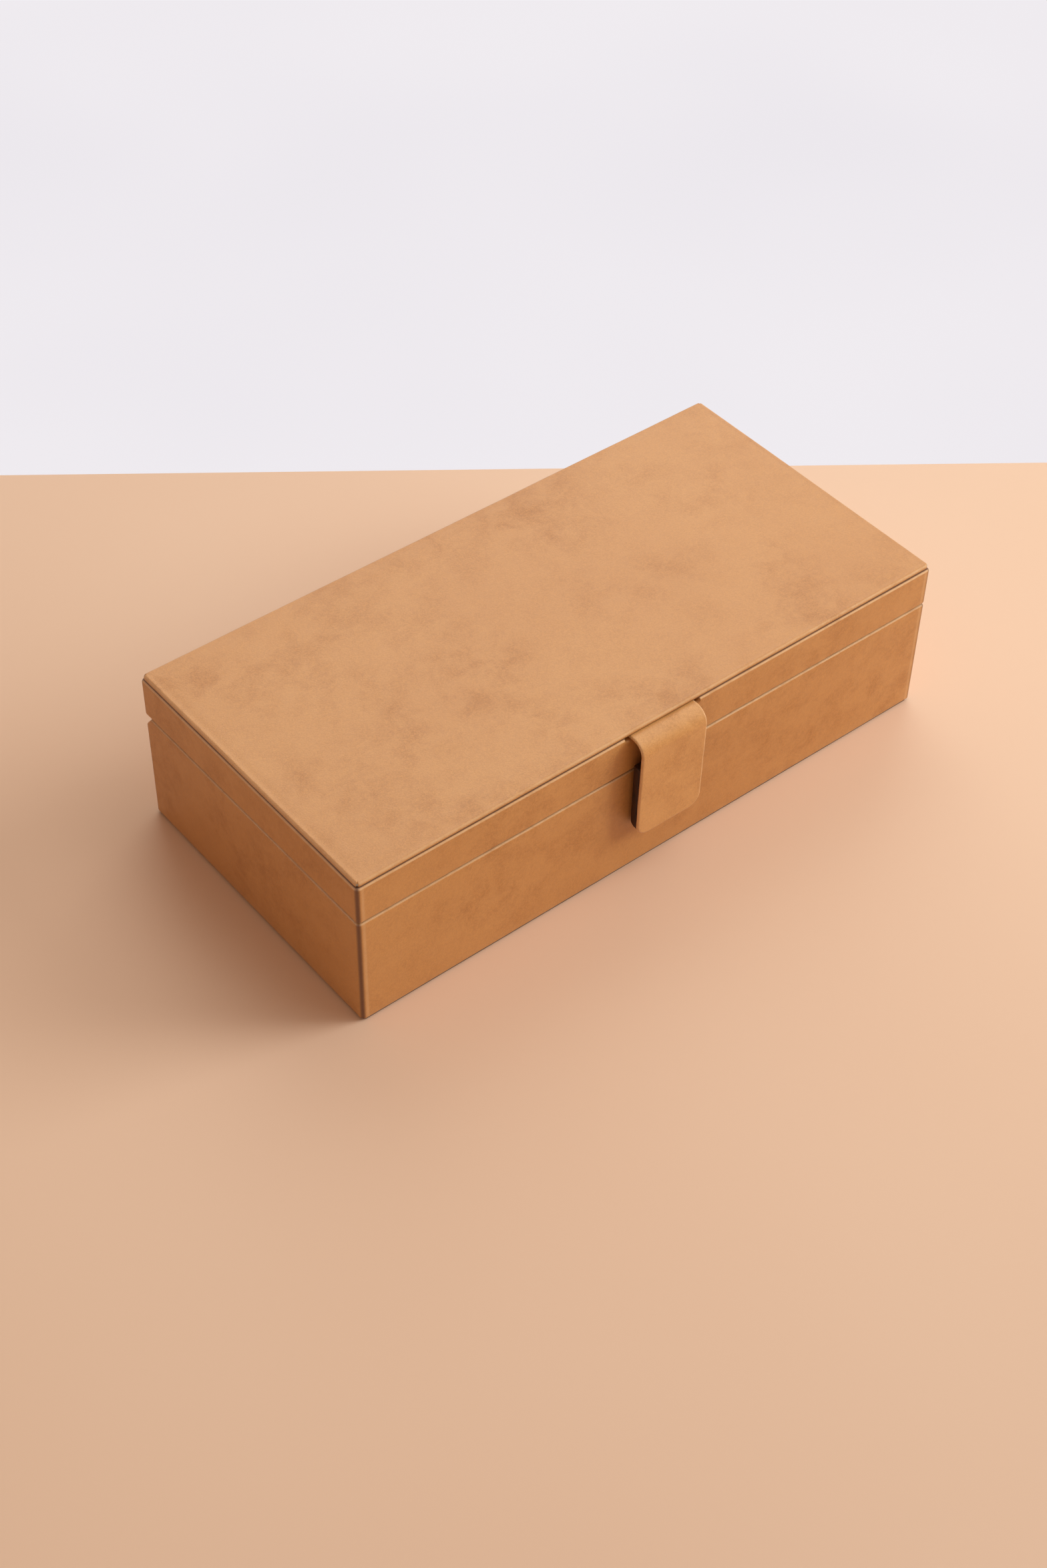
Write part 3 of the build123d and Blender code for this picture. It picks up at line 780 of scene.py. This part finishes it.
def edge_swell(depth, thick, reach):
    """Half the thickness of a soft-edged sheet at a depth inwards from its edge."""
    if depth >= reach:
        return thick / 2
    share = max(0.0, depth) / reach
    return thick / 2 * math.sqrt(max(0.0, 1 - (1 - share) ** 2))


def row_half_width(left, half, radius):
    """The tab's half width with left to go to its foot."""
    if left >= radius:
        return half
    return half - radius + math.sqrt(max(0.0, radius * radius - (radius - left) ** 2))


def strap():
    """The strap: one leather from its glued tail, over the lid's edge, down to the rounded tab."""
    path = strap_path()
    half = (strap_high.x - strap_low.x) / 2
    lengths = [0.0]
    for one, two in zip(path, path[1:]):
        lengths.append(lengths[-1] + (two - one).length)
    total = lengths[-1]
    foot_z = path[-1].y
    across = crowded(61, 0.45)
    edge_reach = 1.0 * MM
    free_length = 58 * MM  # from the foot up, where the leather isn't held flat
    verts = []
    for side in (1, -1):
        for i, at in enumerate(path):
            before = path[max(i - 1, 0)]
            after = path[min(i + 1, len(path) - 1)]
            along = (after - before).normalized()
            normal = Vector((along.y, -along.x))
            left = total - lengths[i]
            width = row_half_width(left, half, tab_corner)
            for share in across:
                x = share * width
                depth = min(outline_depth(x, left, half, tab_corner), lengths[i] + 0.2 * MM)
                thickness = edge_swell(depth, strap_thick, edge_reach)
                lift = 0.0
                if left < free_length:
                    fade = min(1.0, (free_length - left) / (8 * MM))
                    lift = ripple(x, at.y, lengths[i], 75, 0.22 * MM, 8.8) * fade
                    dome = 0.35 * MM * max(0.0, 1 - (x / half) ** 2)
                    lift += dome * fade * min(1.0, left / (12 * MM))
                point = at - normal * (side * thickness + lift * (1 if side > 0 else 0.6))
                verts.append((x, point.x, point.y))
    faces = grid_faces(0, len(path), len(across)) + grid_faces(len(verts) // 2, len(path), len(across))
    mesh = mesh_from(verts, faces, "strap", merge=0.004 * MM)
    # The share of the painted edge highlight at each point
    edge_highlight_layer = mesh.attributes.new("edge_rub", "FLOAT", "POINT")
    for vertex, value in zip(mesh.vertices, edge_highlight_layer.data):
        depth = outline_depth(vertex.co.x, vertex.co.z - foot_z, half, tab_corner)
        # The painted highlight is weaker on the left side, which is in shade
        lit_side_share = 1.0 if vertex.co.x > 0 else 0.35
        value.value = max(0.0, 1 - max(0.0, depth) / edge_reach) * lit_side_share
    return make_object("strap", mesh, None, [lightened_tab_leather])


def strap_piece():
    """The strap in one piece, its place baked into its points, in place of the CAD strap and tail."""
    piece = strap()
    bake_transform(piece)
    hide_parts("tab_strap", "tab_strap_tail")
    return piece


def tab_block():
    """The thick part behind the strap: a leather back, rounded off to cut sides in painted shade."""
    foot = block_low.z + 0.3 * MM
    top = block_high.z
    back = block_high.y
    half = (block_high.x - block_low.x) / 2 - 0.5 * MM
    corner = tab_corner - 0.25 * MM
    lean = 0.66 * MM  # how much thinner the block is at its foot
    glue_gap = 0.05 * MM  # between the block and the strap in front of it
    back_round = 4.2 * MM
    rows = 35
    columns = 33
    tall = top - foot

    def front_y(z):
        return block_low.y + lean * (top - z) / (top - block_low.z) + glue_gap

    def back_y(x, z, depth):
        inner = max(0.0, back_round - depth)
        rounded = back - 0.8 * (back_round - math.sqrt(max(0.0, back_round**2 - inner**2)))
        return rounded - max(0.0, ripple(x, z, 0, 80, 0.15 * MM, 2.9))

    verts = []
    for face in ("front", "back"):
        for row in range(rows):
            left = tall * (1 - math.cos(math.pi * row / (rows - 1))) / 2
            width = row_half_width(left, half, corner)
            z = foot + left
            for share in crowded(columns, 0.6):
                x = share * width
                depth = min(outline_depth(x, left, half, corner), tall - left)
                verts.append((x, front_y(z) if face == "front" else back_y(x, z, depth), z))
    per_face = rows * columns
    faces = grid_faces(0, rows, columns) + grid_faces(per_face, rows, columns)
    rim = list(range(columns))
    rim += [row * columns + columns - 1 for row in range(1, rows)]
    rim += [(rows - 1) * columns + j for j in range(columns - 2, -1, -1)]
    rim += [row * columns for row in range(rows - 2, 0, -1)]
    for a, b in zip(rim, rim[1:] + rim[:1]):
        faces.append((a, b, b + per_face, a + per_face))
    mesh = mesh_from(verts, faces, "tab_block", merge=0.002 * MM)
    block = make_object("tab_block", mesh, "clasp_tab", [lightened_tab_leather, painted_tab_shade])
    flat = 0.93  # a face turned this much to the back is covered, and the others are cut edges
    # Faces not turned to the back get the painted shade
    for face in mesh.polygons:
        face.material_index = 1 if face.normal.y < flat else 0
    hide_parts("tab_back_leather", "tab_core")
    return block


# Inside
def cleaned_copy(node):
    """A copy of a CAD node's mesh with its loose triangles joined into faces."""
    mesh = frame["nodes"][node].data.copy()
    work = bmesh.new()
    work.from_mesh(mesh)
    bmesh.ops.remove_doubles(work, verts=work.verts, dist=0.002 * MM)
    bmesh.ops.dissolve_limit(work, angle_limit=math.radians(1), verts=work.verts, edges=work.edges)
    work.to_mesh(mesh)
    work.free()
    mesh.materials.clear()
    return mesh


def softened(node, body, width, segments=3):
    """A suede-covered card: the CAD form with its sharp edges rolled over."""
    piece = make_object(f"{node}_covered", cleaned_copy(node), body, [lining_suede])
    bevel = piece.modifiers.new("rolled_edges", "BEVEL")
    bevel.width = width
    bevel.segments = segments
    bevel.limit_method = "ANGLE"
    bevel.angle_limit = math.radians(40)
    bevel.harden_normals = True
    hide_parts(node)
    return piece


def lined_inside():
    """Linings and dividers in suede."""
    lining_edge = 0.45 * MM
    floor_edge = 0.3 * MM
    divider_edge = 0.9 * MM
    for side in ("front", "back", "left", "right"):
        softened(f"base_{side}_lining", "base", lining_edge)
        softened(f"lid_{side}_lining", "lid", lining_edge)
    softened("floor_lining", "base", floor_edge)
    softened("long_divider", "base", divider_edge, 4)
    for number in range(1, 6):
        softened(f"cross_divider_{number}", "base", divider_edge, 4)


def swell(piece, cap, voxel):
    """Puffs a closed form up like stuffed cloth. No point moves further than the cap."""
    remesh = piece.modifiers.new("voxels", "REMESH")
    remesh.mode = "VOXEL"
    remesh.voxel_size = voxel
    bpy.context.view_layer.objects.active = piece
    bpy.ops.object.modifier_apply(modifier=remesh.name)
    start = [v.co.copy() for v in piece.data.vertices]
    cloth = piece.modifiers.new("cloth", "CLOTH")
    cloth.settings.use_pressure = True
    cloth.settings.uniform_pressure_force = 4.0
    cloth.settings.effector_weights.gravity = 0
    cloth.settings.quality = 5
    for number in range(1, 21):
        bpy.context.scene.frame_set(number)
    bpy.ops.object.modifier_apply(modifier=cloth.name)
    bpy.context.scene.frame_set(1)
    for vertex, was in zip(piece.data.vertices, start):
        moved = vertex.co - was
        if moved.length > cap:
            vertex.co = was + moved * (cap / moved.length)


def cushion_seed():
    """One stuffed watch cushion, made in the first compartment and copied into the others."""
    low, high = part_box("watch_cushion_01")
    middle = (low + high) / 2
    size = high - low - Vector((2, 2, 2)) * cushion_inset
    radius = 13.5 * MM
    turns = 40
    verts = []
    faces = []
    # Places along the cushion, from -1 to 1, and how full its cross-section is there
    stations = [(-1, 0.80), (-0.97, 0.90), (-0.90, 0.965), (-0.78, 0.99), (-0.5, 1.0), (0, 1.005)]
    stations += [(-share, scale) for share, scale in reversed(stations[:-1])]
    reach_y = size.y / 2 - radius
    reach_z = size.z / 2 - radius
    for share, scale in stations:
        for i in range(turns):
            angle = 2 * math.pi * (i + 0.5) / turns
            y = reach_y * (1 if math.cos(angle) > 0 else -1) + radius * math.cos(angle)
            z = reach_z * (1 if math.sin(angle) > 0 else -1) + radius * math.sin(angle)
            verts.append((middle.x + share * size.x / 2, middle.y + y * scale, middle.z + z * scale))
    for ring in range(len(stations) - 1):
        for i in range(turns):
            j = (i + 1) % turns
            a = ring * turns
            faces.append((a + i, a + j, a + turns + j, a + turns + i))
    faces.append(tuple(range(turns)))
    faces.append(tuple(range((len(stations) - 1) * turns, len(stations) * turns)))
    mesh = mesh_from(verts, faces, "cushion_seed")
    seed = bpy.data.objects.new("cushion_seed", mesh)
    bpy.context.scene.collection.objects.link(seed)
    swell(seed, cap=3.2 * MM, voxel=2.6 * MM)
    sub = seed.modifiers.new("smoother", "SUBSURF")
    sub.levels = sub.render_levels = 1
    bpy.context.view_layer.objects.active = seed
    bpy.ops.object.modifier_apply(modifier=sub.name)
    seam_at = size.x / 2 * seam_share
    seam_depth = 0.75 * MM
    seam_width = 0.9 * MM
    for vertex in seed.data.vertices:
        co = vertex.co
        radial = Vector((0, co.y - middle.y, co.z - middle.z))
        near = abs(abs(co.x - middle.x) - seam_at) / seam_width
        radial_length = max(radial.length, 1e-6)
        groove = seam_depth * math.exp(-near * near) * min(1.0, radial_length / (8 * MM))
        co -= radial / radial_length * groove
        sag = ripple(co.x, co.y, co.z, 34, 0.7 * MM, 1.7)
        co += radial / radial_length * sag
        for axis in range(3):
            co[axis] = min(max(co[axis], low[axis]), high[axis])
    return seed


def seam_stitches(seed, middle, seam_at):
    """Stitches round both end seams of the cushion, laid on its surface."""
    surface = BVHTree.FromObject(seed, bpy.context.evaluated_depsgraph_get())
    around = 90
    reach = 60 * MM
    above = 0.10 * MM
    verts = []
    edges = []
    for side in (-1, 1):
        start = len(verts)
        for i in range(around):
            angle = 2 * math.pi * i / around
            out = Vector((0, math.cos(angle), math.sin(angle)))
            origin = middle + Vector((side * seam_at, 0, 0)) + out * reach
            hit = surface.ray_cast(origin, -out)[0]
            verts.append(hit + out * above)
            edges.append((start + i, start + (i + 1) % around))
    path = bpy.data.meshes.new("seam_path")
    path.from_pydata(verts, edges, [])
    holder = bpy.data.objects.new("seam_path", path)
    bpy.context.scene.collection.objects.link(holder)
    sizes = {"Stitches": "NodeSocketInt", "Length": "NodeSocketFloat", "Thickness": "NodeSocketFloat"}
    tree = ShapeTree("stitched_seam", sizes)
    given = tree.given
    line = tree.add("GeometryNodeMeshToCurve", {}, {"Mesh": given["Geometry"]}, "Curve")
    spaced = {"Curve": line, "Count": given["Stitches"]}
    line = tree.add("GeometryNodeResampleCurve", {"mode": "COUNT"}, spaced, "Curve")
    bead = tree.add("GeometryNodeMeshUVSphere", {}, {"Segments": 6, "Rings": 5, "Radius": 0.5}, "Mesh")
    sides = {"X": given["Thickness"], "Y": given["Thickness"], "Z": given["Length"]}
    scale = tree.add("ShaderNodeCombineXYZ", {}, sides, "Vector")
    along = tree.add("GeometryNodeInputTangent", {}, {}, "Tangent")
    turned = tree.add("FunctionNodeAlignRotationToVector", {"axis": "Z"}, {"Vector": along}, "Rotation")
    laid = {"Points": line, "Instance": bead, "Rotation": turned, "Scale": scale}
    shape = tree.add("GeometryNodeInstanceOnPoints", {}, laid, "Instances")
    values = {"Stitches": 46, "Length": 2.3 * MM, "Thickness": 0.6 * MM}
    mesh = tree.taken_from(holder, shape, thread, values)
    mesh.materials.clear()
    bpy.data.objects.remove(holder)
    return mesh


def cushions():
    """Twelve cushions, every other one turned end for end so that no two neighbours match."""
    seed = cushion_seed()
    seed_low, seed_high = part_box("watch_cushion_01")
    centre = (seed_low + seed_high) / 2
    stitches = seam_stitches(seed, centre, ((seed_high.x - seed_low.x) / 2 - cushion_inset) * seam_share)
    for number in range(1, 13):
        node = f"watch_cushion_{number:02d}"
        low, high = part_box(node)
        there = (low + high) / 2
        mesh = seed.data.copy()
        half_turn = Matrix.Rotation(math.pi if number % 2 else 0, 4, "Z")
        move = Matrix.Translation(there) @ half_turn @ Matrix.Translation(-centre)
        mesh.transform(move)
        body = f"cushion_{number:02d}"
        cushion = make_object(f"{body}_stuffed", mesh, body, [cushion_suede])
        sewn = stitches.copy()
        sewn.transform(move)
        make_object(f"{body}_stitches", sewn, body, [thread])
        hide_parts(node)
    bpy.data.objects.remove(seed)


def ceiling_pad():
    """The soft panel on the lid's ceiling, crowned and drawn in at its edges."""
    low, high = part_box("lid_ceiling_pad")
    size = high - low
    edge = 5 * MM
    flat = -size.z * 0.86
    outline = Outline(size.x / 2, size.y / 2, 3 * MM, corner_steps=8, fine=3 * MM, coarse=7 * MM)
    profile = [(60 * MM, 0.0, "back"), (1.0 * MM, 0.0, "back")]
    for turn in spread(6, 90, 9):
        angle = math.radians(turn)
        profile.append((edge * (1 - math.cos(angle)) + 0.1 * MM, flat * math.sin(angle), "side"))
    profile += [(inset * MM, flat, "face") for inset in (8, 12, 17, 24, 32, 42, 54, 66, 72)]

    def place(at, out, station, inset, height, key):
        if key == "face":
            crown = min(1.0, (inset - edge) / (50 * MM)) ** 0.6
            height -= size.z * 0.12 * crown
            height += max(-0.1 * MM, ripple(*at, 0, 20, 0.35 * MM, 5.5))
        return (*at, high.z + max(height, low.z - high.z))

    mesh = wrap_round("ceiling_pad", outline, profile, place, closed=False)
    pad = make_object("ceiling_pad", mesh, "lid", [lining_suede])
    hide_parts("lid_ceiling_pad")
    return pad


def plain_nodes():
    """CAD nodes whose shape is right get their finish."""
    finishes = {
        "board": fibreboard,
        "card": grey_card,
        "brass": brass,
        "magnet": nickel,
        "underside": felt,
    }
    slots = {row["node"]: row["material_slot"] for row in frame["record"]["subparts"]}
    for node, slot in slots.items():
        if slot in finishes:
            mesh = frame["nodes"][node].data
            mesh.materials.clear()
            mesh.materials.append(finishes[slot])


base_cover()
lid_cover()
top_panel()
strap_piece()
tab_block()
lined_inside()
cushions()
ceiling_pad()
plain_nodes()


# Studio: where the table ends behind the box, and the photograph's camera
table_edge = (Vector((-0.0970, 0.3536, 0)), Vector((0.3687, 0.0069, 0)))
photo_lens = 56.69
photo_side = 36.0
camera_place = Vector((-0.55885, -0.66145, 0.84401))
camera_forward = Vector((0.45075678, 0.54497158, -0.70698253))
camera_right = Vector((0.77917886, -0.62665106, 0.01373886))


def studio_sheet(name, corners, height, material):
    mesh = bpy.data.meshes.new(name)
    mesh.from_pydata([(c.x, c.y, height) for c in corners], [], [tuple(range(len(corners)))])
    mesh.materials.append(material)
    sheet = bpy.data.objects.new(name, mesh)
    bpy.context.scene.collection.objects.link(sheet)


def studio():
    """A peach table top that ends behind the box, and white beyond it."""
    left, right = table_edge
    along = (right - left).normalized()
    away = Vector((-along.y, along.x, 0))
    middle = (left + right) / 2
    reach = 4.0
    peach = paper_material("peach_paper", srgb(232, 195, 168), srgb(229, 190, 162))
    white = paper_material("white_paper", srgb(240, 236, 240), srgb(236, 232, 237), glowing=True)
    table = [middle - along * reach, middle + along * reach]
    table += [c - away * reach for c in reversed(table)]
    beyond = [middle + along * reach * 2, middle - along * reach * 2]
    beyond += [c + away * reach * 2 for c in reversed(beyond)]
    studio_sheet("table_top", table, 0.0, peach)
    studio_sheet("backdrop", beyond, -0.001, white)


def lamp(name, light, aim, colour, energy, glossy):
    """Hangs a light, turned to shine along aim. glossy says whether it shows in gloss."""
    light.color = colour
    light.energy = energy
    holder = bpy.data.objects.new(name, light)
    holder.rotation_euler = aim.to_track_quat("-Z", "Y").to_euler()
    holder.visible_glossy = glossy
    bpy.context.scene.collection.objects.link(holder)
    return holder


def area_lamp(name, place, target, size, power, colour, cone=180, glossy=True):
    light = bpy.data.lights.new(name, "AREA")
    light.shape = "SQUARE"
    light.size = size
    light.spread = math.radians(cone)
    holder = lamp(name, light, Vector(target) - Vector(place), colour, power, glossy)
    holder.location = place
    holder.visible_camera = False


def lights():
    """Soft daylight from the front right, lamps that lift the right, top and back, and a warm bounce."""
    window = bpy.data.lights.new("window", "SUN")
    window.angle = math.radians(32)
    lamp("window", window, Vector((-0.79, 0.42, -0.45)), (0.97, 1.0, 1.0), 1.14, glossy=False)
    near_right = (0.78, -0.52, 0.46)
    area_lamp("right_lift", near_right, (0.16, -0.04, 0.03), 0.5, 1.65, (0.80, 0.96, 1.0), 110, glossy=False)
    area_lamp("overhead", (0.60, -0.45, 1.9), (0.1, 0, 0), 1.3, 10.0, (0.97, 1.0, 1.0))
    area_lamp("back_fill", (0.85, 1.05, 1.30), (0, 0, 0.08), 1.5, 11.0, (0.98, 1.0, 0.92))
    area_lamp("left_bounce", (-1.3, 0.1, 0.55), (0, 0, 0.03), 1.4, 0.7, (1.0, 0.66, 0.42))


def surroundings():
    """Weak warm light from all round, seen as plain near white."""
    tree = Tree("studio_world", "worlds")
    lit = tree.add("ShaderNodeBackground", {}, {"Color": (1.0, 0.75, 0.53, 1), "Strength": 0.32})
    shown = tree.add("ShaderNodeBackground", {}, {"Color": (0.86, 0.82, 0.85, 1), "Strength": 1.0})
    both = tree.add("ShaderNodeMixShader", {}, {0: tree.seen(), 1: lit, 2: shown})
    bpy.context.scene.world = tree.ended(both, "ShaderNodeOutputWorld")


def camera():
    """The photograph's viewpoint, worked out from the box's corners."""
    data = bpy.data.cameras.new("camera")
    data.sensor_fit = "AUTO"
    data.sensor_width = photo_side
    data.lens = photo_lens
    data.clip_end = 30
    holder = bpy.data.objects.new("camera", data)
    up = camera_right.cross(camera_forward)
    turn = Matrix((camera_right, up, -camera_forward)).transposed().to_4x4()
    holder.matrix_world = Matrix.Translation(camera_place) @ turn
    bpy.context.scene.collection.objects.link(holder)
    bpy.context.scene.camera = holder


studio()
lights()
surroundings()
camera()
bpy.context.scene.view_settings.view_transform = "Standard"
